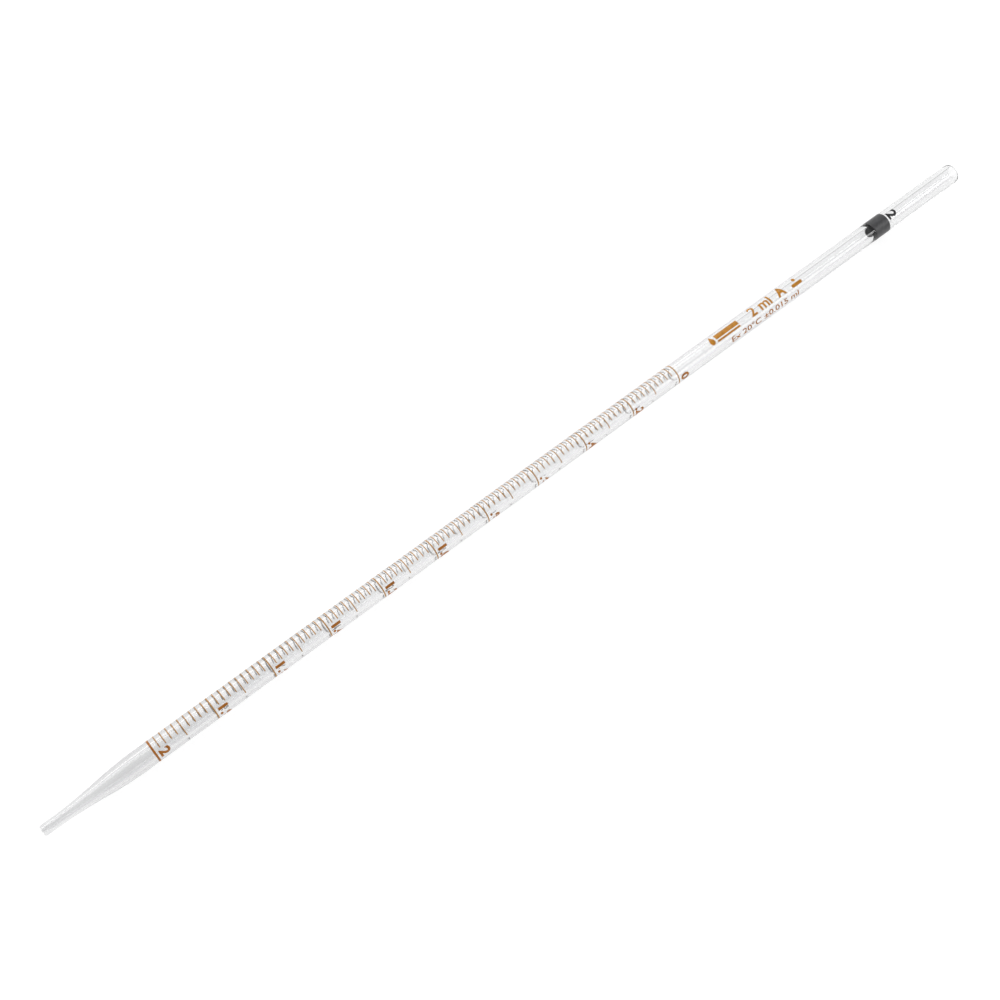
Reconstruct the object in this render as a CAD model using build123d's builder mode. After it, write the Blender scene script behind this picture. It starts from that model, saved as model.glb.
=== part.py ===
from build123d import *
import os
from math import cos, pi, radians, sin, sqrt

# A 2 ml graduated glass pipette, zero mark at the top, lying on a bench.
# X runs along the tube towards the mouth, Z is up, and the origin is under the middle of the tube.
# A distance is measured along the tube from the delivery end. A print angle is measured round the
# tube, in degrees, from the line that the print faces, and grows in the way the numerals read.

os.makedirs("parts", exist_ok=True)

# ---- Driving dimensions, millimetres and degrees ----
overall_length = 360.0
tube_diameter = 6.8
nominal_volume = 2000.0  # cubic millimetres: 2 ml
scale_length = 194.0  # from the 2 ml line to the 0 line
scale_foot = 35.1  # distance of the 2 ml line
numbered_intervals = 10
divisions_per_interval = 10
print_thickness = 0.04
scale_facing = 22.5  # how far the face of the print leans from +Z towards -Y

tip_diameter = 3.3
jet_diameter = 0.8
jet_depth = 3.0  # the bore closes down to the jet over this length
taper_end = 31.0

ring_width = 0.42
foot_ring_width = 0.62
line_width = 0.32
ring_share = 0.92  # share of the circumference that each kind of line covers
half_share = 0.67
fine_share = 0.5
scale_centre = -86.0  # print angle of the middle of every line

numeral_height = 3.2
numeral_gap = 0.9  # from the line to the foot of its numeral
numeral_pen = 0.62
numeral_spacing = 0.97  # clear space between the strokes of two numerals, plus one pen
whole_numeral_start = 13.0  # print angle where a numeral of 1 ml or more begins
part_numeral_start = 28.0  # and one under 1 ml

band_distance = 319.1
band_width = 6.6
band_numeral_gap = 0.6
band_numeral_height = 3.8
band_numeral_start = -34.0

inscription_foot_angle = 2.5  # print angle under the large inscription
capacity_distance = 262.6
capacity_height = 4.2
capacity_pen = 0.42
capacity_spacing = 0.45
class_distance = 274.6
class_height = 4.3
class_pen = 0.6
reference_distance = 252.3
reference_foot_angle = 56.0
reference_height = 1.9
reference_pen = 0.3
reference_spacing = 1.0

mark_foot_angle = 3.0  # print angle under the two plain marks
drop_distance = 245.8
mark_height = 3.0
drop_radius = 0.95
bar_length = 9.8
thick_bar = 1.5
thin_bar = 0.55
bar_gap = 0.35
dot_distance = 283.0
dot_radius = 0.6
dot_gap = 0.5  # between the dot and the bar under it
dot_bar_length = 4.4
dot_bar_height = 1.0

# ---- Sizes that follow from them ----
tube_radius = tube_diameter / 2
bore_radius = sqrt(nominal_volume / (pi * scale_length))  # the scale must hold the volume
bore_share = bore_radius / tube_radius
interval = scale_length / numbered_intervals
division = interval / divisions_per_interval
axis_height = tube_radius + print_thickness
rim_radius = (tube_radius - bore_radius) / 2
tip_round = (tip_diameter - jet_diameter) / 4
letter_depth = tube_radius / 2  # how deep a letter is cut before only its film is kept


def along(distance):
    """The X position of a distance from the delivery end."""
    return distance - overall_length / 2


def outward(angle):
    """The direction from the axis to the glass at a print angle."""
    lean = radians(scale_facing + angle)
    return Vector(0, -sin(lean), cos(lean))


def reading(angle):
    """The direction in which the print angle grows, where the angle is this."""
    lean = radians(scale_facing + angle)
    return Vector(0, -cos(lean), -sin(lean))


def radial_plane(angle):
    """A plane through the axis, its X along the tube and its Y out through the glass."""
    return Plane(origin=(0, 0, axis_height), x_dir=(1, 0, 0), z_dir=reading(angle))


def upright_plane(distance, angle):
    """A plane on the glass whose letters stand up along the tube and read round it."""
    spot = Vector(along(distance), 0, axis_height) + outward(angle) * axis_height
    return Plane(origin=spot, x_dir=reading(angle), z_dir=outward(angle))


def lengthwise_plane(distance, angle):
    """A plane on the glass whose letters read along the tube, towards the mouth."""
    spot = Vector(along(distance), 0, axis_height) + outward(angle) * axis_height
    return Plane(origin=spot, x_dir=(1, 0, 0), z_dir=outward(angle))


def arc_angle(length):
    """The angle that a length of print takes up round the glass."""
    return length / tube_radius * 180 / pi


tube_axis = Axis((0, 0, axis_height), (1, 0, 0))
tube_section = Plane(origin=(0, 0, axis_height), x_dir=(1, 0, 0), z_dir=(0, -1, 0))

# ---- The glass ----
# Distance and outside radius at the stations that shape the drawn tip.
tip_stations = [(8.9, 1.76), (16.7, 2.40), (23.7, 3.11)]
outer_taper = [(along(x), r) for x, r in tip_stations]
bore_taper = [(along(x), r * bore_share) for x, r in reversed(tip_stations)]

with BuildPart() as glass_tube:
    with BuildSketch(tube_section):
        with BuildLine():
            tip_middle = (along(0), jet_diameter / 2 + tip_round)
            tip_inside = (along(tip_round), jet_diameter / 2)
            tip_outside = (along(tip_round), tip_diameter / 2)
            ThreePointArc(tip_inside, tip_middle, tip_outside)
            outside_taper = Spline(
                tip_outside, *outer_taper, (along(taper_end), tube_radius),
                tangents=[(1, 0), (1, 0)],
            )
            Line(outside_taper @ 1, (along(overall_length - rim_radius), tube_radius))
            ThreePointArc(
                (along(overall_length - rim_radius), tube_radius),
                (along(overall_length), bore_radius + rim_radius),
                (along(overall_length - rim_radius), bore_radius),
            )
            Line((along(overall_length - rim_radius), bore_radius), (along(taper_end), bore_radius))
            inside_taper = Spline(
                (along(taper_end), bore_radius), *bore_taper,
                (along(jet_depth), tip_diameter / 2 * bore_share), tangents=[(-1, 0), (-1, 0)],
            )
            Spline(inside_taper @ 1, tip_inside, tangents=[(-1, 0), (-1, 0)])
        make_face()
    revolve(axis=tube_axis)
glass_tube.part.label = "glass_tube"
export_step(glass_tube.part, "parts/glass_tube.step")


# ---- Lines fired onto the glass ----
def printed_lines(name, distances, width, share):
    """Lines across the tube at these distances, each round this share of it."""
    arc = 360 * share
    with BuildPart() as lines:
        with BuildSketch(radial_plane(scale_centre - arc / 2)):
            film = tube_radius + print_thickness / 2
            with Locations(*[(along(distance), film) for distance in distances]):
                Rectangle(width, print_thickness)
        revolve(axis=tube_axis, revolution_arc=arc)
    lines.part.label = name
    export_step(lines.part, f"parts/{name}.step")


def volume_name(tenths):
    """A volume as it is written in a node's name, such as 1_4."""
    return f"{tenths // 10}_{tenths % 10}"


for number in range(numbered_intervals + 1):
    foot = scale_foot + number * interval
    tenths = 2 * (numbered_intervals - number)
    width = foot_ring_width if number == 0 else ring_width
    printed_lines(f"ring_mark_{volume_name(tenths)}", [foot], width, ring_share)

for number in range(numbered_intervals):
    foot = scale_foot + number * interval
    tenths = 2 * (numbered_intervals - number)
    middle = divisions_per_interval // 2
    fine_lines = [
        foot + step * division for step in range(1, divisions_per_interval) if step != middle
    ]
    half_line = [foot + middle * division]
    printed_lines(f"half_mark_{volume_name(tenths - 1)}", half_line, line_width, half_share)
    printed_lines(
        f"fine_marks_{volume_name(tenths - 2)}_to_{volume_name(tenths)}",
        fine_lines, line_width, fine_share,
    )

printed_lines("colour_band", [band_distance + band_width / 2], band_width, 1.0)

# ---- Letters, drawn with a round pen in a box one wide and one high ----
# A stroke of two points is straight and one of more is a curve. A ring is an ellipse, given as its
# centre and its two radii. A dot is a stroke of one point.
letter_strokes = {
    ".": [[(0.5, 0)]],
    "1": [[(0.1, 0.72), (0.6, 1)], [(0.6, 1), (0.6, 0)]],
    "2": [[(0, 0.7), (0.48, 1), (0.95, 0.72), (0.6, 0.36), (0, 0)], [(0, 0), (1, 0)]],
    "4": [[(0.72, 0), (0.72, 1)], [(0.72, 1), (0, 0.3)], [(0, 0.3), (1, 0.3)]],
    "5": [
        [(0.9, 1), (0.2, 1)], [(0.2, 1), (0.1, 0.54)],
        [(0.1, 0.54), (0.6, 0.62), (1, 0.32), (0.5, 0), (0, 0.14)],
    ],
    "6": [[(0.9, 0.88), (0.5, 1), (0.1, 0.72), (0, 0.32)]],
    "A": [[(0, 0), (0.5, 1)], [(0.5, 1), (1, 0)], [(0.17, 0.34), (0.83, 0.34)]],
    "C": [[(1, 0.8), (0.55, 1), (0, 0.5), (0.55, 0), (1, 0.2)]],
    "E": [[(0, 0), (0, 1)], [(0, 1), (1, 1)], [(0, 0.5), (0.9, 0.5)], [(0, 0), (1, 0)]],
    "l": [[(0.5, 0), (0.5, 1)]],
    "m": [
        [(0, 0), (0, 0.7)], [(0, 0.5), (0.25, 0.7), (0.5, 0.5)], [(0.5, 0.5), (0.5, 0)],
        [(0.5, 0.5), (0.75, 0.7), (1, 0.5)], [(1, 0.5), (1, 0)],
    ],
    "x": [[(0, 0), (1, 0.66)], [(0, 0.66), (1, 0)]],
    "±": [[(0, 0.62), (1, 0.62)], [(0.5, 0.28), (0.5, 0.96)], [(0, 0.04), (1, 0.04)]],
}
letter_rings = {
    "0": [(0.5, 0.5, 0.5, 0.5)],
    "6": [(0.5, 0.31, 0.5, 0.31)],
    "8": [(0.5, 0.77, 0.4, 0.23), (0.5, 0.27, 0.5, 0.27)],
    "°": [(0.5, 0.81, 0.5, 0.19)],
}
# How wide each letter's box is, as a share of its height. A space has no strokes.
letter_widths = {".": 0.02, "1": 0.36, "A": 0.8, "l": 0.1, "m": 0.95, "°": 0.36, " ": 0.3}
usual_width = 0.66


def letter_width(letter, height):
    """How wide a letter is between the middles of its outer strokes."""
    return letter_widths.get(letter, usual_width) * height


def film_of(letters, plane_for, spots, height, pen):
    """The film of enamel left on the glass by letters at these spots."""
    with BuildPart() as film:
        for letter, spot in zip(letters, spots):
            if letter == " ":
                continue
            width = letter_width(letter, height)
            with BuildSketch(plane_for(*spot)):
                for x, y, across, up in letter_rings.get(letter, []):
                    with Locations(((x - 0.5) * width, y * height)):
                        Ellipse(across * width + pen / 2, up * height + pen / 2)
                        Ellipse(across * width - pen / 2, up * height - pen / 2, mode=Mode.SUBTRACT)
                for stroke in letter_strokes.get(letter, []):
                    points = [((x - 0.5) * width, y * height) for x, y in stroke]
                    if len(points) > 1:
                        with BuildLine():
                            Spline(*points) if len(points) > 2 else Line(*points)
                        trace(line_width=pen)
                    with Locations(points[0], points[-1]):
                        Circle(pen / 2)
            extrude(amount=-letter_depth)
        with BuildSketch(Plane(origin=(0, 0, axis_height), z_dir=(1, 0, 0))):
            Circle(tube_radius + print_thickness)
            Circle(tube_radius, mode=Mode.SUBTRACT)
        extrude(amount=overall_length / 2, both=True, mode=Mode.INTERSECT)
    return film.part


def printed_upright(name, text, distance, start, height, pen):
    """Letters that stand up along the tube and read round it from a print angle."""
    stem = height - pen
    spots = []
    travelled = pen / 2
    for letter in text:
        width = letter_width(letter, stem)
        spots.append((distance + pen / 2, start + arc_angle(travelled + width / 2)))
        travelled += width + numeral_spacing
    part = film_of(text, upright_plane, spots, stem, pen)
    part.label = name
    export_step(part, f"parts/{name}.step")


def printed_lengthwise(name, text, distance, foot_angle, height, pen, spacing):
    """Letters that read along the tube, their feet on the line at a print angle."""
    stem = height - pen
    spots = []
    travelled = pen / 2
    for letter in text:
        width = letter_width(letter, stem)
        spots.append((distance + travelled + width / 2, foot_angle - arc_angle(pen / 2)))
        travelled += width + spacing
    part = film_of(text, lengthwise_plane, spots, stem, pen)
    part.label = name
    export_step(part, f"parts/{name}.step")


for number in range(numbered_intervals + 1):
    tenths = 2 * (numbered_intervals - number)
    text = {20: "2", 0: "0"}.get(tenths, f"{tenths / 10:.1f}".lstrip("0"))
    start = whole_numeral_start if tenths >= 10 else part_numeral_start
    foot = scale_foot + number * interval + numeral_gap
    printed_upright(
        f"numeral_{volume_name(tenths)}", text, foot, start, numeral_height, numeral_pen
    )

printed_upright(
    "band_numeral", "2", band_distance + band_width + band_numeral_gap,
    band_numeral_start, band_numeral_height, numeral_pen,
)

# ---- The inscription between the scale and the colour band ----
printed_lengthwise(
    "capacity_inscription", "2 ml", capacity_distance, inscription_foot_angle,
    capacity_height, capacity_pen, capacity_spacing,
)
printed_lengthwise(
    "class_letter", "A", class_distance, inscription_foot_angle, class_height, class_pen, 0,
)
printed_lengthwise(
    "reference_inscription", "Ex 20°C ±0.015 ml", reference_distance, reference_foot_angle,
    reference_height, reference_pen, reference_spacing,
)


# ---- The two plain marks ----
def printed_shape(name, sketch, distance, angle):
    """The film of enamel left on the glass by a flat shape that lies along the tube."""
    with BuildPart() as film:
        with BuildSketch(lengthwise_plane(distance, angle)):
            add(sketch)
        extrude(amount=-letter_depth)
        with BuildSketch(Plane(origin=(0, 0, axis_height), z_dir=(1, 0, 0))):
            Circle(tube_radius + print_thickness)
            Circle(tube_radius, mode=Mode.SUBTRACT)
        extrude(amount=overall_length / 2, both=True, mode=Mode.INTERSECT)
    film.part.label = name
    export_step(film.part, f"parts/{name}.step")


# The drop's sides leave its round foot along the tangents from its point.
drop_reach = mark_height - drop_radius
tangent_across = drop_radius * sqrt(1 - (drop_radius / drop_reach) ** 2)
tangent_up = drop_radius**2 / drop_reach
bars_middle = drop_radius + 2 * bar_gap + bar_length / 2
with BuildSketch() as drop_and_bars:
    with Locations((0, drop_radius)):
        Circle(drop_radius)
        Polygon(
            (0, drop_reach), (-tangent_across, tangent_up), (tangent_across, tangent_up),
            align=None,
        )
    with Locations((bars_middle, thin_bar / 2)):
        Rectangle(bar_length, thin_bar)
    with Locations((bars_middle, thin_bar + bar_gap + thick_bar / 2)):
        Rectangle(bar_length, thick_bar)
printed_shape("maker_mark", drop_and_bars.sketch, drop_distance, mark_foot_angle)

with BuildSketch() as dot_over_bar:
    with Locations((0, dot_bar_height / 2)):
        SlotOverall(dot_bar_length, dot_bar_height)
    with Locations((0, dot_bar_height + dot_gap + dot_radius)):
        Circle(dot_radius)
printed_shape("second_mark", dot_over_bar.sketch, dot_distance, mark_foot_angle)
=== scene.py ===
"""A 2 ml graduated glass pipette lying on a pale bench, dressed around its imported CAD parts.

Lengths are in metres. X runs along the tube towards the mouth. A lean is an angle round the tube,
from straight up towards -Y, and a patch is the piece of the tube that a print covers.
"""

from math import asin, atan2, cos, pi, radians, sin, sqrt

import bmesh
import bpy
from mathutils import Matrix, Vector


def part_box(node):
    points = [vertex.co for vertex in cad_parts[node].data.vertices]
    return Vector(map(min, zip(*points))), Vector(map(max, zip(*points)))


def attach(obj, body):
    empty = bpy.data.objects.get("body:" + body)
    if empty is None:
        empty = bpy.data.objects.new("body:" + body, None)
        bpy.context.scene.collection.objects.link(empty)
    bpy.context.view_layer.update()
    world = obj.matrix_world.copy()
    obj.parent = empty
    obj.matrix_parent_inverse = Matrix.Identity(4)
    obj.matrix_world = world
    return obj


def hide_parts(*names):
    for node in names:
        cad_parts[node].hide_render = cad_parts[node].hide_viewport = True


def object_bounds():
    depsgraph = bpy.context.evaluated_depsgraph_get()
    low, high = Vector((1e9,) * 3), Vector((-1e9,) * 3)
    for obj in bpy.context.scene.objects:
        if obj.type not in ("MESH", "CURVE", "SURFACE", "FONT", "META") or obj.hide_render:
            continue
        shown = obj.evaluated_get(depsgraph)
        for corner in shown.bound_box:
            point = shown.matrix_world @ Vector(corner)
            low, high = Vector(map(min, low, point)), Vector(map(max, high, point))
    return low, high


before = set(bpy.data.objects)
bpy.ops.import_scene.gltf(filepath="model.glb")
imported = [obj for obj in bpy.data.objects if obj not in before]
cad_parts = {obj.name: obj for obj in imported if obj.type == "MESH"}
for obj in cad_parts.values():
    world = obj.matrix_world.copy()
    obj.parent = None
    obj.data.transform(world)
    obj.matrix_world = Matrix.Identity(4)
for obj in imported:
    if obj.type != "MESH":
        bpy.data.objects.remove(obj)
cad_low, cad_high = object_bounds()

bl_info = {
    "name": "Graduated Pipette",
    "version": (1, 0, 0),
    "blender": (4, 5, 0),
    "location": "View3D > Sidebar > Pipette",
    "description": "Builds the glass, the fired scale and the studio of a graduated pipette",
    "category": "Object",
}

MM = 0.001
AXIS_HEIGHT = (cad_low.z + cad_high.z) / 2


# ---------------------------------------------------------------- places read from the frame
def node_width(node):
    """How far a node reaches along the tube."""
    low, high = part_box(node)
    return high.x - low.x


def node_middle(node):
    """The X position of a node's middle."""
    low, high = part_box(node)
    return (low.x + high.x) / 2


def lean_of(point):
    """The lean of a point on the tube, in radians."""
    return atan2(-point.y, point.z - AXIS_HEIGHT)


def patch_of(node):
    """Where a print lies: its X from and to, and its lean from and to."""
    points = [vertex.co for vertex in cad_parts[node].data.vertices]
    middle = sum((Vector((p.x, p.y, p.z - AXIS_HEIGHT)) for p in points), Vector())
    centre = atan2(-middle.y, middle.z)
    turns = [(lean_of(p) - centre + pi) % (2 * pi) - pi for p in points]
    low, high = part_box(node)
    return low.x, high.x, centre + min(turns), centre + max(turns)


def nodes_like(start):
    """The CAD nodes whose names begin this way, in the order of the scale."""
    return sorted(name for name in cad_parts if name.startswith(start))


SCALE_LENGTH = node_middle("ring_mark_0_0") - node_middle("ring_mark_2_0")
NOMINAL_VOLUME = 2e-6
BORE_RADIUS = sqrt(NOMINAL_VOLUME / (pi * SCALE_LENGTH))
GLASS_LOW, GLASS_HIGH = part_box("glass_tube")
TUBE_RADIUS = (GLASS_HIGH.y - GLASS_LOW.y) / 2
FILM = (cad_high.z - cad_low.z) / 2 - TUBE_RADIUS

# ---------------------------------------------------------------- fixed shapes
SHOULDERS = (  # distance from the delivery end and outside radius, up the drawn tip
    (8.9 * MM, 1.76 * MM), (16.7 * MM, 2.40 * MM), (23.7 * MM, 3.11 * MM),
)
TURNED_SEGMENTS = 128  # facets round anything that is turned
TAPER_STEPS = 10  # points on a taper between two of its stations
TIP_ROUND_STEPS = 12
MOUTH_ROUND_STEPS = 16
STEM_PITCH = 5 * MM  # between the rings of the straight stem, at the least
BAND_RINGS = 12

LINE_POINTS_ACROSS = 5
LINE_CROWN = 1.6  # how much a line's film thins from its middle to its sides
ARC_POINTS = 12  # points along any line, and again for each radian of it
FINE_PLACES = 9  # places between two numbered lines
HALF_LINE_PLACE = 4  # the one of them that a half line has

LETTER_RESOLUTION = 8
WELD_DISTANCE = 1e-5
FACET_LENGTH = 0.2 * MM  # of a wrapped print, measured round the tube
NUMERAL_WEIGHT = 0.04  # a weight is how far the strokes swell, as a share of the letter size
BAND_NUMERAL_WEIGHT = 0.035
INSCRIPTIONS = (  # name, text, weight, CAD node, enamel and slot
    ("printed_capacity", "2 ml", 0.02, "capacity_inscription", "orange", "bold_amber_enamel"),
    ("printed_class_letter", "A", 0.045, "class_letter", "orange", "bold_amber_enamel"),
    (
        "printed_reference", "Ex 20°C ±0.015 ml", 0.01, "reference_inscription",
        "bold_amber", "fine_amber_enamel",
    ),
)

DROP_RADIUS, DROP_HEIGHT = 0.95 * MM, 3.0 * MM
# Bars of the plain marks, in millimetres: X, Y, length, height and corner radius.
BARS_BY_DROP = ((1.65, 0, 9.8, 0.55, 0.08), (1.65, 0.9, 9.8, 1.5, 0.12))
DOT_OVER_BAR = ((0, 0, 4.4, 1.0, 0.5), (1.6, 1.5, 1.2, 1.2, 0.6))
CORNER_STEPS = 6
DROP_STEPS = 32

# ---------------------------------------------------------------- fixed finishes
WHITE = (1.0, 1.0, 1.0, 1.0)
GLASS_IOR = 1.52
DRAW_LINE_BUMP, DRAW_LINE_HEIGHT = 0.02, 0.02 * MM
GRAIN_BUMP, GRAIN_HEIGHT = 0.25, 0.01 * MM
ENAMEL_GLOSS = (0.28, 0.5)  # roughness of its smoothest and roughest patches
ENAMEL_PATCHES = (0.35, 0.62)  # where the noise turns from the darker colour to the full one
ENAMEL_SPECULAR = 0.4
OUTSIDE_SHADE, UNDERSIDE_SHADE = 0.72, 0.95  # how dark the darker patches are
UNDERSIDE_MARGIN = 0.002 * MM  # a face this far inside the glass belongs to the underside

# ---------------------------------------------------------------- fixed parts of the studio
BENCH_HALF = 12.0
BENCH_BASE = (0.25, 0.25, 0.25, 1.0)
BENCH_ROUGHNESS, BENCH_SPECULAR = 0.7, 0.1
SKY_ABOVE = (0.5, 0.5, 0.503, 1.0)
SKY_FADE = 0.3  # how high the bright horizon has faded to the sky above
SENSOR_WIDTH = 36.0
CLIP_START = 0.01
LAMPS = (  # name, place, width, height and power
    ("key_softbox", (-0.1, 0.75, 0.8), 1.6, 0.6, 9.0),
    ("streak_strip", (1.0, -0.75, 0.8), 1.1, 0.35, 5.0),
)


# ---------------------------------------------------------------- settings
class GlassSettings(bpy.types.PropertyGroup):
    """Sizes and finish of the glass."""

    tip_radius: bpy.props.FloatProperty(
        name="Tip radius", description="Outside radius at the delivery end",
        default=1.65 * MM, unit="LENGTH",
    )
    jet_radius: bpy.props.FloatProperty(
        name="Jet radius", description="Radius of the jet's orifice",
        default=0.4 * MM, unit="LENGTH",
    )
    jet_depth: bpy.props.FloatProperty(
        name="Jet depth", description="Length over which the bore closes down to the jet",
        default=3.0 * MM, unit="LENGTH",
    )
    taper_length: bpy.props.FloatProperty(
        name="Taper length", description="From the delivery end to the full diameter",
        default=31.0 * MM, unit="LENGTH",
    )
    tint: bpy.props.FloatVectorProperty(
        name="Tint", description="Colour that the glass passes", subtype="COLOR",
        size=4, default=(0.972, 0.974, 0.976, 1.0), min=0.0, max=1.0,
    )
    # Painted shade: the drawn tip is tinted a darker grey, standing in for the shade that falls on
    # the tip, not a colour of the glass.
    tip_painted_shade: bpy.props.FloatVectorProperty(
        name="Tip tint", description="Colour that the drawn tip passes", subtype="COLOR",
        size=4, default=(0.835, 0.837, 0.84, 1.0), min=0.0, max=1.0,
    )
    depth_colour: bpy.props.FloatVectorProperty(
        name="Depth colour", description="Colour that thick glass turns", subtype="COLOR",
        size=4, default=(0.5, 0.5, 0.505, 1.0), min=0.0, max=1.0,
    )
    depth_density: bpy.props.FloatProperty(
        name="Depth density", description="How soon thick glass turns that colour", default=60.0,
    )
    softness: bpy.props.FloatProperty(
        name="Softness", description="Roughness of the glass", default=0.055, min=0.0, max=1.0,
    )
    # Painted shade: the length over which the tip's painted shade fades into the stem's tint.
    painted_shade_length: bpy.props.FloatProperty(
        name="Grey length", description="Length over which the tip's tint fades to the stem's",
        default=110.0 * MM, unit="LENGTH",
    )


class PrintSettings(bpy.types.PropertyGroup):
    """Thickness and colours of the fired prints."""

    sunk: bpy.props.FloatProperty(
        name="Sunk depth", description="How far the enamel has sunk into the glass",
        default=0.01 * MM, unit="LENGTH",
    )
    # Painted light: the share by which each print's underside colour is lightened towards white,
    # standing in for light that comes through the film.
    underside_painted_light: bpy.props.FloatProperty(
        name="See-through", description="How pale the enamel is from inside the glass",
        default=0.85, min=0.0, max=1.0,
    )
    amber: bpy.props.FloatVectorProperty(
        name="Amber", description="Colour of the thin scale lines", subtype="COLOR",
        size=4, default=(0.54, 0.28, 0.09, 1.0), min=0.0, max=1.0,
    )
    bold_amber: bpy.props.FloatVectorProperty(
        name="Bold amber", description="Colour of the numerals and heavy rings", subtype="COLOR",
        size=4, default=(0.45, 0.15, 0.008, 1.0), min=0.0, max=1.0,
    )
    orange: bpy.props.FloatVectorProperty(
        name="Orange", description="Colour of the plain marks", subtype="COLOR",
        size=4, default=(0.56, 0.23, 0.015, 1.0), min=0.0, max=1.0,
    )
    grey: bpy.props.FloatVectorProperty(
        name="Grey", description="Colour of the colour-code band", subtype="COLOR",
        size=4, default=(0.068, 0.068, 0.071, 1.0), min=0.0, max=1.0,
    )
    black: bpy.props.FloatVectorProperty(
        name="Black", description="Colour of the numeral above the band", subtype="COLOR",
        size=4, default=(0.018, 0.018, 0.02, 1.0), min=0.0, max=1.0,
    )


class StudioSettings(bpy.types.PropertyGroup):
    """The bench, the light and the camera."""

    azimuth: bpy.props.FloatProperty(
        name="Azimuth", description="Where the camera stands round the pipette",
        default=radians(-39.4), subtype="ANGLE",
    )
    elevation: bpy.props.FloatProperty(
        name="Elevation", description="How high the camera stands",
        default=radians(61.9), subtype="ANGLE",
    )
    distance: bpy.props.FloatProperty(
        name="Distance", description="From the camera to the point it looks at",
        default=419.1 * MM, unit="LENGTH",
    )
    aim: bpy.props.FloatProperty(
        name="Aim", description="X position on the tube that the camera looks at",
        default=-21.5 * MM, unit="LENGTH",
    )
    lens: bpy.props.FloatProperty(
        name="Lens", description="Focal length in millimetres", default=50.0,
    )
    sky: bpy.props.FloatProperty(
        name="Sky strength", description="Strength of the soft surround", default=0.9,
    )
    bench_glow: bpy.props.FloatProperty(
        name="Bench glow", description="How brightly the bench is lit from inside", default=0.87,
    )


# ---------------------------------------------------------------- small helpers
def link(obj):
    """Puts a new object in the scene."""
    bpy.context.scene.collection.objects.link(obj)
    return obj


def finished(obj, node):
    """Lets a finished piece ride on the pipette and stand for its CAD node."""
    for polygon in obj.data.polygons:
        polygon.use_smooth = True
    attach(obj, "root")
    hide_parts(node)
    return obj


def on_tube(x, lean, radius):
    """The point at this X, lean and radius."""
    return Vector((x, -radius * sin(lean), AXIS_HEIGHT + radius * cos(lean)))


def lathe(name, profile, segments, material):
    """A closed ring-shaped mesh: a closed profile of X and radius, turned about the tube's axis."""
    vertices = [
        on_tube(x, 2 * pi * turn / segments, radius)
        for turn in range(segments) for x, radius in profile
    ]
    count = len(profile)
    faces = []
    for turn in range(segments):
        here, there = turn * count, (turn + 1) % segments * count
        for step in range(count):
            after = (step + 1) % count
            faces.append((here + step, here + after, there + after, there + step))
    mesh = bpy.data.meshes.new(name)
    mesh.from_pydata(vertices, [], faces)
    mesh.materials.append(material)
    shell = bmesh.new()
    shell.from_mesh(mesh)
    bmesh.ops.recalc_face_normals(shell, faces=shell.faces)
    shell.to_mesh(mesh)
    shell.free()
    return link(bpy.data.objects.new(name, mesh))


# ---------------------------------------------------------------- materials
def node_material(name):
    """A new material, its node tree, and its Principled node."""
    material = bpy.data.materials.new(name)
    material.use_nodes = True
    tree = material.node_tree
    return material, tree, tree.nodes["Principled BSDF"]


def stretched_noise(tree, stretch, scale, detail):
    """Noise on Object coordinates, stretched by a Mapping node."""
    place = tree.nodes.new("ShaderNodeTexCoord")
    mapping = tree.nodes.new("ShaderNodeMapping")
    noise = tree.nodes.new("ShaderNodeTexNoise")
    mapping.inputs["Scale"].default_value = stretch
    noise.inputs["Scale"].default_value = scale
    noise.inputs["Detail"].default_value = detail
    tree.links.new(place.outputs["Object"], mapping.inputs["Vector"])
    tree.links.new(mapping.outputs["Vector"], noise.inputs["Vector"])
    return noise


def coordinate(tree, kind, axis):
    """One axis of a texture coordinate."""
    place = tree.nodes.new("ShaderNodeTexCoord")
    parts = tree.nodes.new("ShaderNodeSeparateXYZ")
    tree.links.new(place.outputs[kind], parts.inputs["Vector"])
    return parts.outputs[axis]


def two_colours(tree, low_place, low_colour, high_place, high_colour):
    """A colour ramp between two colours."""
    ramp = tree.nodes.new("ShaderNodeValToRGB")
    low, high = ramp.color_ramp.elements
    low.position, low.color = low_place, low_colour
    high.position, high.color = high_place, high_colour
    return ramp


def bump_from(tree, noise, strength, height):
    """A bump node fed by a noise."""
    bump = tree.nodes.new("ShaderNodeBump")
    bump.inputs["Strength"].default_value = strength
    bump.inputs["Distance"].default_value = height
    tree.links.new(noise.outputs["Fac"], bump.inputs["Height"])
    return bump


def clear_glass(settings):
    """Drawn laboratory glass: clear, with the faint lengthwise lines that drawing leaves, and a
    painted shade that darkens its tint towards the delivery end.
    """
    material, tree, shader = node_material("drawn_glass")
    shader.inputs["Transmission Weight"].default_value = 1.0
    # Painted shade: the base colour darkens from the stem's tint to the tip's shade tint towards
    # the delivery end.
    reach = tree.nodes.new("ShaderNodeMapRange")
    reach.inputs["From Min"].default_value = GLASS_LOW.x
    reach.inputs["From Max"].default_value = GLASS_LOW.x + settings.painted_shade_length
    ramp = two_colours(tree, 0.0, settings.tip_painted_shade, 1.0, settings.tint)
    tree.links.new(coordinate(tree, "Object", "X"), reach.inputs["Value"])
    tree.links.new(reach.outputs["Result"], ramp.inputs["Fac"])
    tree.links.new(ramp.outputs["Color"], shader.inputs["Base Color"])
    shader.inputs["IOR"].default_value = GLASS_IOR
    shader.inputs["Roughness"].default_value = settings.softness
    depth = tree.nodes.new("ShaderNodeVolumeAbsorption")
    depth.inputs["Color"].default_value = settings.depth_colour
    depth.inputs["Density"].default_value = settings.depth_density
    tree.links.new(depth.outputs["Volume"], tree.nodes["Material Output"].inputs["Volume"])
    draw_lines = stretched_noise(tree, (0.02, 1.0, 1.0), 1400.0, 2.0)
    bump = bump_from(tree, draw_lines, DRAW_LINE_BUMP, DRAW_LINE_HEIGHT)
    tree.links.new(bump.outputs["Normal"], shader.inputs["Normal"])
    return material


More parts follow.
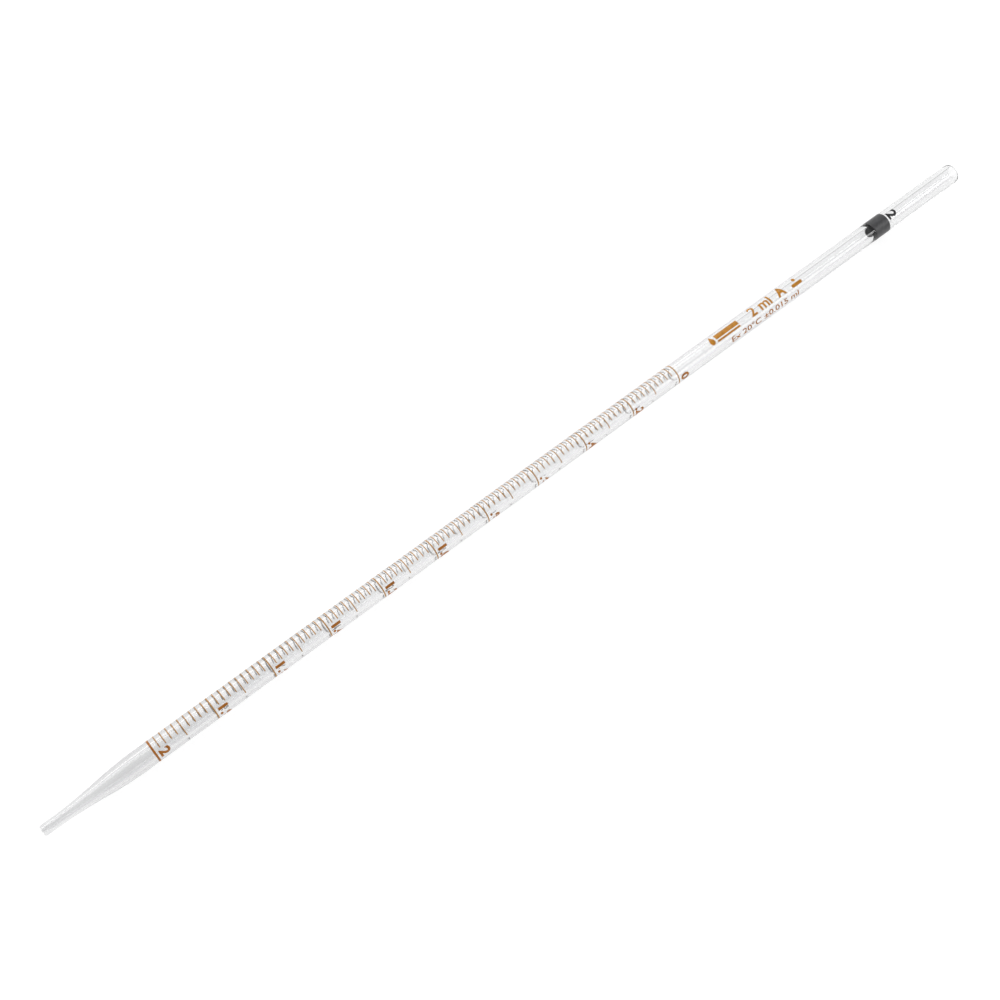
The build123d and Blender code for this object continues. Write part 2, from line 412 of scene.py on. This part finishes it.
def fired_enamel(name, colour, shade=OUTSIDE_SHADE):
    """Screen-printed enamel fired onto glass: uneven in colour and gloss, with a fine grain."""
    material, tree, shader = node_material(name)
    patches = stretched_noise(tree, (1.0, 1.0, 1.0), 900.0, 3.0)
    darker = [channel * shade for channel in colour[:3]] + [1.0]
    ramp = two_colours(tree, ENAMEL_PATCHES[0], darker, ENAMEL_PATCHES[1], colour)
    gloss = tree.nodes.new("ShaderNodeMapRange")
    gloss.inputs["To Min"].default_value, gloss.inputs["To Max"].default_value = ENAMEL_GLOSS
    grain = stretched_noise(tree, (1.0, 1.0, 1.0), 9000.0, 2.0)
    bump = bump_from(tree, grain, GRAIN_BUMP, GRAIN_HEIGHT)
    shader.inputs["Specular IOR Level"].default_value = ENAMEL_SPECULAR
    tree.links.new(patches.outputs["Fac"], ramp.inputs["Fac"])
    tree.links.new(ramp.outputs["Color"], shader.inputs["Base Color"])
    tree.links.new(patches.outputs["Fac"], gloss.inputs["Value"])
    tree.links.new(gloss.outputs["Result"], shader.inputs["Roughness"])
    tree.links.new(bump.outputs["Normal"], shader.inputs["Normal"])
    return material


def made_once(name, make, *values):
    """A material by name, made the first time that it is asked for."""
    return bpy.data.materials.get(name) or make(*values)


def enamel(kind):
    """The enamel of a colour in the print settings."""
    settings = bpy.context.scene.pipette_print
    return made_once(f"fired_{kind}", fired_enamel, f"fired_{kind}", getattr(settings, kind))


def underside(kind):
    """The same enamel as it looks from inside the glass, with painted light: its colour is
    lightened towards white to stand in for light coming through the film.
    """
    settings = bpy.context.scene.pipette_print
    colour = getattr(settings, kind)
    pale = settings.underside_painted_light
    painted_light_colour = [channel * (1 - pale) + pale for channel in colour[:3]] + [1.0]
    return made_once(f"pale_{kind}", fired_enamel, f"pale_{kind}", painted_light_colour, UNDERSIDE_SHADE)


def give_enamel(mesh, kind):
    """Enamel on the outside of a film, and its underside where it meets the glass."""
    mesh.materials.clear()
    mesh.materials.append(enamel(kind))
    # The underside gets the lightened copy of the colour, which is painted light.
    mesh.materials.append(underside(kind))
    for polygon in mesh.polygons:
        centre = polygon.center
        radius = sqrt(centre.y**2 + (centre.z - AXIS_HEIGHT) ** 2)
        polygon.material_index = 1 if radius < TUBE_RADIUS - UNDERSIDE_MARGIN else 0


# ---------------------------------------------------------------- the glass
def smooth_taper(stations, steps):
    """Points on a smooth curve through the stations, level at both ends."""
    slopes = [0.0]
    for before, after in zip(stations, stations[2:]):
        slopes.append((after[1] - before[1]) / (after[0] - before[0]))
    slopes.append(0.0)
    points = []
    for index in range(len(stations) - 1):
        (x0, r0), (x1, r1) = stations[index], stations[index + 1]
        span = x1 - x0
        for step in range(steps):
            t = step / steps
            rise = (3 * t * t - 2 * t**3) * (r1 - r0)
            lead = (t - 2 * t * t + t**3) * span * slopes[index]
            tail = (t**3 - t * t) * span * slopes[index + 1]
            points.append((x0 + span * t, r0 + rise + lead + tail))
    points.append(stations[-1])
    return points


def half_round(x, low, high, side, steps):
    """Points on the half circle that closes a wall between two radii at an end of the tube."""
    middle, size = (low + high) / 2, (high - low) / 2
    angles = [pi * (step / steps - 0.5) for step in range(steps + 1)]
    return [(x + side * size * cos(a), middle + size * sin(a)) for a in angles]


class PIPETTE_OT_glass_tube(bpy.types.Operator):
    """Turns the glass in one piece: the drawn tip, the bored stem and the fire-polished mouth"""

    bl_idname = "pipette.glass_tube"
    bl_label = "Glass Tube"

    def execute(self, context):
        sizes = context.scene.pipette_glass
        start, end = GLASS_LOW.x, GLASS_HIGH.x
        full = start + sizes.taper_length
        bore_share = BORE_RADIUS / TUBE_RADIUS
        tip_round = (sizes.tip_radius - sizes.jet_radius) / 2
        rim_round = (TUBE_RADIUS - BORE_RADIUS) / 2
        stations = [(start + x, r) for x, r in SHOULDERS]
        outside = smooth_taper(
            [(start + tip_round, sizes.tip_radius), *stations, (full, TUBE_RADIUS)], TAPER_STEPS
        )
        inside = smooth_taper(
            [(start + sizes.jet_depth, sizes.tip_radius * bore_share)]
            + [(x, r * bore_share) for x, r in stations] + [(full, BORE_RADIUS)], TAPER_STEPS,
        )
        jet = smooth_taper([(start + tip_round, sizes.jet_radius), inside[0]], TAPER_STEPS)
        plain = int((end - rim_round - full) / STEM_PITCH)
        stem = [full + (end - rim_round - full) * step / plain for step in range(1, plain)]
        tip_end = half_round(
            start + tip_round, sizes.jet_radius, sizes.tip_radius, -1, TIP_ROUND_STEPS
        )
        mouth = half_round(end - rim_round, BORE_RADIUS, TUBE_RADIUS, 1, MOUTH_ROUND_STEPS)
        profile = tip_end + outside[1:] + [(x, TUBE_RADIUS) for x in stem]
        profile += mouth[::-1] + [(x, BORE_RADIUS) for x in reversed(stem)]
        profile += inside[::-1] + jet[-2:0:-1]
        glass = made_once("drawn_glass", clear_glass, sizes)
        tube = lathe("drawn_glass_tube", profile, TURNED_SEGMENTS, glass)
        finished(tube, "glass_tube")
        return {"FINISHED"}


# ---------------------------------------------------------------- the scale's lines
def line_tree():
    """Geometry nodes that lay a row of thin enamel arcs round the tube."""
    tree = bpy.data.node_groups.new("fired_lines", "GeometryNodeTree")
    face = tree.interface
    face.new_socket("Geometry", in_out="OUTPUT", socket_type="NodeSocketGeometry")
    sizes = (
        ("First X", "Float"), ("Spacing", "Float"), ("Places", "Int"), ("Skipped", "Int"),
        ("Width", "Float"), ("Sweep", "Float"), ("Middle Lean", "Float"),
        ("Inner Radius", "Float"), ("Film", "Float"), ("Axis Height", "Float"),
        ("Arc Points", "Int"), ("Enamel", "Material"),
    )
    for name, kind in sizes:
        face.new_socket(name, in_out="INPUT", socket_type=f"NodeSocket{kind}")
    given = tree.nodes.new("NodeGroupInput").outputs
    out = tree.nodes.new("NodeGroupOutput")

    def join(source, target):
        tree.links.new(source, target)

    def maths(operation, first, second=None, third=None):
        node = tree.nodes.new("ShaderNodeMath")
        node.operation = operation
        for socket, value in zip(node.inputs, (first, second, third)):
            if isinstance(value, (int, float)):
                socket.default_value = value
            elif value is not None:
                join(value, socket)
        return node.outputs[0]

    # A flat strip, its X across the line, its Y round the tube and its Z out through the film.
    strip = tree.nodes.new("GeometryNodeMeshCube")
    size = tree.nodes.new("ShaderNodeCombineXYZ")
    join(given["Width"], size.inputs["X"])
    join(given["Sweep"], size.inputs["Y"])
    join(given["Film"], size.inputs["Z"])
    join(size.outputs[0], strip.inputs["Size"])
    strip.inputs["Vertices X"].default_value = LINE_POINTS_ACROSS
    join(given["Arc Points"], strip.inputs["Vertices Y"])

    # The strip bends round the tube, and its film is highest along the middle of the line.
    place = tree.nodes.new("GeometryNodeInputPosition")
    parts = tree.nodes.new("ShaderNodeSeparateXYZ")
    join(place.outputs[0], parts.inputs[0])
    across = maths("DIVIDE", parts.outputs["X"], given["Width"])
    fall = maths("MULTIPLY", maths("MULTIPLY", across, across), LINE_CROWN)
    crown = maths("SUBTRACT", 1.0, fall)
    above = maths("ADD", parts.outputs["Z"], maths("MULTIPLY", given["Film"], 0.5))
    height = maths("MULTIPLY", above, crown)
    radius = maths("ADD", given["Inner Radius"], height)
    lean = maths("SUBTRACT", given["Middle Lean"], parts.outputs["Y"])
    side = maths("MULTIPLY", maths("MULTIPLY", radius, maths("SINE", lean)), -1.0)
    rise = maths("MULTIPLY_ADD", radius, maths("COSINE", lean), given["Axis Height"])
    bent = tree.nodes.new("ShaderNodeCombineXYZ")
    join(parts.outputs["X"], bent.inputs["X"])
    join(side, bent.inputs["Y"])
    join(rise, bent.inputs["Z"])
    bend = tree.nodes.new("GeometryNodeSetPosition")
    join(strip.outputs["Mesh"], bend.inputs["Geometry"])
    join(bent.outputs[0], bend.inputs["Position"])

    # One strip at each place along the scale, with one place left free for a longer line.
    row = tree.nodes.new("GeometryNodeMeshLine")
    first = tree.nodes.new("ShaderNodeCombineXYZ")
    step = tree.nodes.new("ShaderNodeCombineXYZ")
    join(given["First X"], first.inputs["X"])
    join(given["Spacing"], step.inputs["X"])
    join(given["Places"], row.inputs["Count"])
    join(first.outputs[0], row.inputs["Start Location"])
    join(step.outputs[0], row.inputs["Offset"])
    index = tree.nodes.new("GeometryNodeInputIndex")
    is_free = tree.nodes.new("FunctionNodeCompare")
    is_free.data_type = "INT"
    is_free.operation = "EQUAL"
    whole_inputs = [socket for socket in is_free.inputs if socket.type == "INT"]
    join(index.outputs[0], whole_inputs[0])
    join(given["Skipped"], whole_inputs[1])
    leave = tree.nodes.new("GeometryNodeDeleteGeometry")
    join(row.outputs["Mesh"], leave.inputs["Geometry"])
    join(is_free.outputs["Result"], leave.inputs["Selection"])
    lay = tree.nodes.new("GeometryNodeInstanceOnPoints")
    join(leave.outputs["Geometry"], lay.inputs["Points"])
    join(bend.outputs["Geometry"], lay.inputs["Instance"])
    real = tree.nodes.new("GeometryNodeRealizeInstances")
    join(lay.outputs["Instances"], real.inputs["Geometry"])
    paint = tree.nodes.new("GeometryNodeSetMaterial")
    join(real.outputs["Geometry"], paint.inputs["Geometry"])
    join(given["Enamel"], paint.inputs["Material"])
    join(paint.outputs["Geometry"], out.inputs["Geometry"])
    return tree


def fired_lines(name, node, kind, places=1, skipped=-1, width=None):
    """Lines of enamel laid where a CAD node has them."""
    tree = bpy.data.node_groups.get("fired_lines") or line_tree()
    x_low, x_high, lean_low, lean_high = patch_of(node)
    across = width or x_high - x_low
    spacing = (x_high - x_low - across) / max(places - 1, 1)
    sunk = bpy.context.scene.pipette_print.sunk
    values = {
        "First X": x_low + across / 2, "Spacing": spacing, "Places": places,
        "Skipped": skipped, "Width": across, "Sweep": lean_high - lean_low,
        "Middle Lean": (lean_low + lean_high) / 2, "Inner Radius": TUBE_RADIUS - sunk,
        "Film": FILM + sunk, "Axis Height": AXIS_HEIGHT,
        "Arc Points": ARC_POINTS + int(ARC_POINTS * (lean_high - lean_low)), "Enamel": enamel(kind),
    }
    source = link(bpy.data.objects.new(name + "_source", bpy.data.meshes.new(name + "_source")))
    modifier = source.modifiers.new("fired_lines", "NODES")
    modifier.node_group = tree
    for item in tree.interface.items_tree:
        if item.in_out == "INPUT":
            modifier[item.identifier] = values[item.name]
    graph = bpy.context.evaluated_depsgraph_get()
    mesh = bpy.data.meshes.new_from_object(source.evaluated_get(graph))
    mesh.name = name
    bpy.data.objects.remove(source)
    give_enamel(mesh, kind)
    return finished(link(bpy.data.objects.new(name, mesh)), node)


class PIPETTE_OT_scale_lines(bpy.types.Operator):
    """Lays the ring lines, the half lines and the fine lines of the scale"""

    bl_idname = "pipette.scale_lines"
    bl_label = "Scale Lines"

    def execute(self, context):
        fine_width = node_width("half_mark_0_1")
        for node in nodes_like("ring_mark"):
            kind = "bold_amber" if node.endswith("2_0") else "amber"
            name = node.replace("ring_mark", "ring_line")
            fired_lines(name, node, kind)
        for node in nodes_like("half_mark"):
            fired_lines(node.replace("mark", "line"), node, "amber")
        for node in nodes_like("fine_marks"):
            name = node.replace("marks", "lines")
            fired_lines(
                name, node, "amber",
                places=FINE_PLACES, skipped=HALF_LINE_PLACE, width=fine_width,
            )
        return {"FINISHED"}


# ---------------------------------------------------------------- letters and flat shapes
def flat_text(text, weight):
    """A flat mesh of letters, as a bmesh."""
    curve = bpy.data.curves.new("letters", "FONT")
    curve.body = text
    curve.offset = weight
    curve.resolution_u = LETTER_RESOLUTION
    curve.fill_mode = "FRONT"
    letters = link(bpy.data.objects.new("letters", curve))
    graph = bpy.context.evaluated_depsgraph_get()
    mesh = bpy.data.meshes.new_from_object(letters.evaluated_get(graph))
    flat = bmesh.new()
    flat.from_mesh(mesh)
    bpy.data.objects.remove(letters)
    bpy.data.meshes.remove(mesh)
    bmesh.ops.remove_doubles(flat, verts=flat.verts, dist=WELD_DISTANCE)
    return flat


def wrapped_film(name, flat, node, kind, upright):
    """A flat shape stretched over a node's patch, laid round the tube and given its film."""
    x_low, x_high, lean_low, lean_high = patch_of(node)
    lows = [min(v.co[axis] for v in flat.verts) for axis in (0, 1)]
    sizes = [max(v.co[axis] for v in flat.verts) - lows[axis] for axis in (0, 1)]
    round_axis = 0 if upright else 1
    arc = (lean_high - lean_low) * TUBE_RADIUS
    cuts = max(2, int(arc / FACET_LENGTH))
    normal = Vector((1, 0, 0)) if upright else Vector((0, 1, 0))
    for cut in range(1, cuts):
        spot = normal * (lows[round_axis] + sizes[round_axis] * cut / cuts)
        everything = flat.verts[:] + flat.edges[:] + flat.faces[:]
        bmesh.ops.bisect_plane(flat, geom=everything, plane_co=spot, plane_no=normal)
    bmesh.ops.triangulate(flat, faces=flat.faces)
    lifted = bmesh.ops.extrude_face_region(flat, geom=flat.faces[:])["geom"]
    tops = {piece for piece in lifted if isinstance(piece, bmesh.types.BMVert)}
    sunk = bpy.context.scene.pipette_print.sunk
    for vertex in flat.verts:
        across = (vertex.co.x - lows[0]) / sizes[0]
        up = (vertex.co.y - lows[1]) / sizes[1]
        if upright:
            x = x_low + (x_high - x_low) * up
            lean = lean_low + (lean_high - lean_low) * across
        else:
            x = x_low + (x_high - x_low) * across
            lean = lean_high - (lean_high - lean_low) * up
        radius = TUBE_RADIUS + FILM if vertex in tops else TUBE_RADIUS - sunk
        vertex.co = on_tube(x, lean, radius)
    bmesh.ops.recalc_face_normals(flat, faces=flat.faces)
    mesh = bpy.data.meshes.new(name)
    flat.to_mesh(mesh)
    flat.free()
    give_enamel(mesh, kind)
    piece = finished(link(bpy.data.objects.new(name, mesh)), node)
    for polygon in piece.data.polygons:
        polygon.use_smooth = False
    return piece


def numeral_text(node):
    """What a numeral node says, such as 1.4 or .6."""
    whole, tenths = node.split("_")[1:]
    return {"2_0": "2", "0_0": "0"}.get(f"{whole}_{tenths}", f"{whole}.{tenths}".lstrip("0"))


class PIPETTE_OT_numerals(bpy.types.Operator):
    """Prints the numerals of the scale and the black one above the band"""

    bl_idname = "pipette.numerals"
    bl_label = "Numerals"

    def execute(self, context):
        for node in nodes_like("numeral_"):
            text = flat_text(numeral_text(node), NUMERAL_WEIGHT)
            name = node.replace("numeral", "printed_numeral")
            wrapped_film(name, text, node, "bold_amber", True)
        text = flat_text("2", BAND_NUMERAL_WEIGHT)
        wrapped_film(
            "printed_band_numeral", text, "band_numeral", "black", True
        )
        return {"FINISHED"}


class PIPETTE_OT_inscriptions(bpy.types.Operator):
    """Prints the capacity, the class letter and the small reference line"""

    bl_idname = "pipette.inscriptions"
    bl_label = "Inscriptions"

    def execute(self, context):
        for name, text, weight, node, kind, slot in INSCRIPTIONS:
            wrapped_film(name, flat_text(text, weight), node, kind, False)
        return {"FINISHED"}


def add_outline(flat, points):
    """A flat face from its outline."""
    flat.faces.new([flat.verts.new((x, y, 0)) for x, y in points])


def bar_outline(x, y, length, height, corner):
    """A bar with round corners, from its lower left corner."""
    points = []
    centres = (
        (x + length - corner, y + corner, -90), (x + length - corner, y + height - corner, 0),
        (x + corner, y + height - corner, 90), (x + corner, y + corner, 180),
    )
    for across, up, begin in centres:
        for step in range(CORNER_STEPS + 1):
            angle = radians(begin + 90 / CORNER_STEPS * step)
            points.append((across + corner * cos(angle), up + corner * sin(angle)))
    return points


def drop_outline(radius, height):
    """A drop standing on its round foot: an arc between the tangents from its point."""
    reach = height - radius
    open_half = pi / 2 - asin(radius / reach)
    points = [(0, height)]
    for step in range(DROP_STEPS + 1):
        angle = pi / 2 + open_half + (2 * pi - 2 * open_half) * step / DROP_STEPS
        points.append((radius * cos(angle), radius + radius * sin(angle)))
    return points


def add_bars(flat, bars):
    """Bars given in millimetres."""
    for bar in bars:
        add_outline(flat, bar_outline(*(size * MM for size in bar)))


class PIPETTE_OT_plain_marks(bpy.types.Operator):
    """Prints the plain drop with its bars and the plain dot over a bar"""

    bl_idname = "pipette.plain_marks"
    bl_label = "Plain Marks"

    def execute(self, context):
        drop_and_bars = bmesh.new()
        add_outline(drop_and_bars, drop_outline(DROP_RADIUS, DROP_HEIGHT))
        add_bars(drop_and_bars, BARS_BY_DROP)
        wrapped_film("plain_mark", drop_and_bars, "maker_mark", "orange", False)
        dot_over_bar = bmesh.new()
        add_bars(dot_over_bar, DOT_OVER_BAR)
        wrapped_film(
            "plain_second_mark", dot_over_bar, "second_mark", "orange", False
        )
        return {"FINISHED"}


class PIPETTE_OT_colour_band(bpy.types.Operator):
    """Lays the colour-code band near the mouth"""

    bl_idname = "pipette.colour_band"
    bl_label = "Colour Band"

    def execute(self, context):
        low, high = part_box("colour_band")
        sunk = context.scene.pipette_print.sunk
        inner, outer = TUBE_RADIUS - sunk, TUBE_RADIUS + FILM
        corner = FILM / 2
        profile = [(low.x, inner), (low.x, outer - corner), (low.x + corner, outer)]
        for step in range(1, BAND_RINGS):
            profile.append((low.x + (high.x - low.x) * step / BAND_RINGS, outer))
        profile += [(high.x - corner, outer), (high.x, outer - corner), (high.x, inner)]
        for step in range(BAND_RINGS - 1, 0, -1):
            profile.append((low.x + (high.x - low.x) * step / BAND_RINGS, inner))
        band = lathe("fired_colour_band", profile, TURNED_SEGMENTS, enamel("grey"))
        finished(band, "colour_band")
        return {"FINISHED"}


# ---------------------------------------------------------------- the studio
def area_light(name, place, width, height, power):
    """A soft oblong lamp that faces the pipette."""
    data = bpy.data.lights.new(name, "AREA")
    data.shape = "RECTANGLE"
    data.size = width
    data.size_y = height
    data.energy = power
    lamp = link(bpy.data.objects.new(name, data))
    lamp.location = place
    lamp.rotation_mode = "QUATERNION"
    lamp.rotation_quaternion = (-Vector(place)).to_track_quat("-Z", "Y")
    return lamp


class PIPETTE_OT_studio(bpy.types.Operator):
    """Lays the pale bench, lights it softly and sets the camera"""

    bl_idname = "pipette.studio"
    bl_label = "Studio"

    def execute(self, context):
        settings = context.scene.pipette_studio
        self.lay_bench(settings)
        self.light(context.scene, settings)
        self.set_camera(context.scene, settings)
        return {"FINISHED"}

    def lay_bench(self, settings):
        """A pale square bench under the pipette."""
        half = BENCH_HALF
        mesh = bpy.data.meshes.new("bench")
        corners = [(-half, -half, 0), (half, -half, 0), (half, half, 0), (-half, half, 0)]
        mesh.from_pydata(corners, [], [(0, 1, 2, 3)])
        material, _, shader = node_material("pale_bench")
        shader.inputs["Base Color"].default_value = BENCH_BASE
        shader.inputs["Roughness"].default_value = BENCH_ROUGHNESS
        shader.inputs["Specular IOR Level"].default_value = BENCH_SPECULAR
        shader.inputs["Emission Color"].default_value = WHITE
        shader.inputs["Emission Strength"].default_value = settings.bench_glow
        mesh.materials.append(material)
        link(bpy.data.objects.new("bench", mesh))

    def light(self, scene, settings):
        """A surround that is brightest at the horizon, and the lamps."""
        world = bpy.data.worlds.new("soft_surround")
        scene.world = world
        world.use_nodes = True
        tree = world.node_tree
        background = tree.nodes["Background"]
        background.inputs["Strength"].default_value = settings.sky
        ramp = two_colours(tree, 0.0, WHITE, SKY_FADE, SKY_ABOVE)
        tree.links.new(coordinate(tree, "Generated", "Z"), ramp.inputs["Fac"])
        tree.links.new(ramp.outputs["Color"], background.inputs["Color"])
        for lamp in LAMPS:
            area_light(*lamp)
        scene.view_settings.view_transform = "Standard"

    def set_camera(self, scene, settings):
        """The camera, facing the point on the tube that it aims at."""
        azimuth, elevation = settings.azimuth, settings.elevation
        back = Vector((
            sin(azimuth) * cos(elevation), -cos(azimuth) * cos(elevation), sin(elevation)
        ))
        data = bpy.data.cameras.new("camera")
        data.lens = settings.lens
        data.sensor_width = SENSOR_WIDTH
        data.clip_start = CLIP_START
        camera = link(bpy.data.objects.new("camera", data))
        camera.location = Vector((settings.aim, 0, AXIS_HEIGHT)) + back * settings.distance
        camera.rotation_mode = "QUATERNION"
        camera.rotation_quaternion = (-back).to_track_quat("-Z", "Y")
        scene.camera = camera


class PIPETTE_PT_panel(bpy.types.Panel):
    """Lists the pipette's operators and settings"""

    bl_label = "Graduated Pipette"
    bl_idname = "PIPETTE_PT_panel"
    bl_space_type = "VIEW_3D"
    bl_region_type = "UI"
    bl_category = "Pipette"

    def draw(self, context):
        for operator in OPERATORS:
            self.layout.operator(operator.bl_idname)
        for group in ("pipette_glass", "pipette_print", "pipette_studio"):
            settings = getattr(context.scene, group)
            column = self.layout.column()
            for name in settings.__annotations__:
                column.prop(settings, name)


OPERATORS = (
    PIPETTE_OT_glass_tube, PIPETTE_OT_scale_lines, PIPETTE_OT_numerals,
    PIPETTE_OT_inscriptions, PIPETTE_OT_plain_marks, PIPETTE_OT_colour_band, PIPETTE_OT_studio,
)
CLASSES = (GlassSettings, PrintSettings, StudioSettings, *OPERATORS, PIPETTE_PT_panel)


def register():
    """Registers the classes and hangs the settings on the scene."""
    for cls in CLASSES:
        bpy.utils.register_class(cls)
    bpy.types.Scene.pipette_glass = bpy.props.PointerProperty(type=GlassSettings)
    bpy.types.Scene.pipette_print = bpy.props.PointerProperty(type=PrintSettings)
    bpy.types.Scene.pipette_studio = bpy.props.PointerProperty(type=StudioSettings)


def unregister():
    """Takes the settings and the classes away."""
    for name in ("pipette_glass", "pipette_print", "pipette_studio"):
        delattr(bpy.types.Scene, name)
    for cls in reversed(CLASSES):
        bpy.utils.unregister_class(cls)


def main():
    """Builds the pipette and its studio."""
    register()
    for operator in OPERATORS:
        group, name = operator.bl_idname.split(".")
        getattr(getattr(bpy.ops, group), name)()


if __name__ == "__main__":
    main()
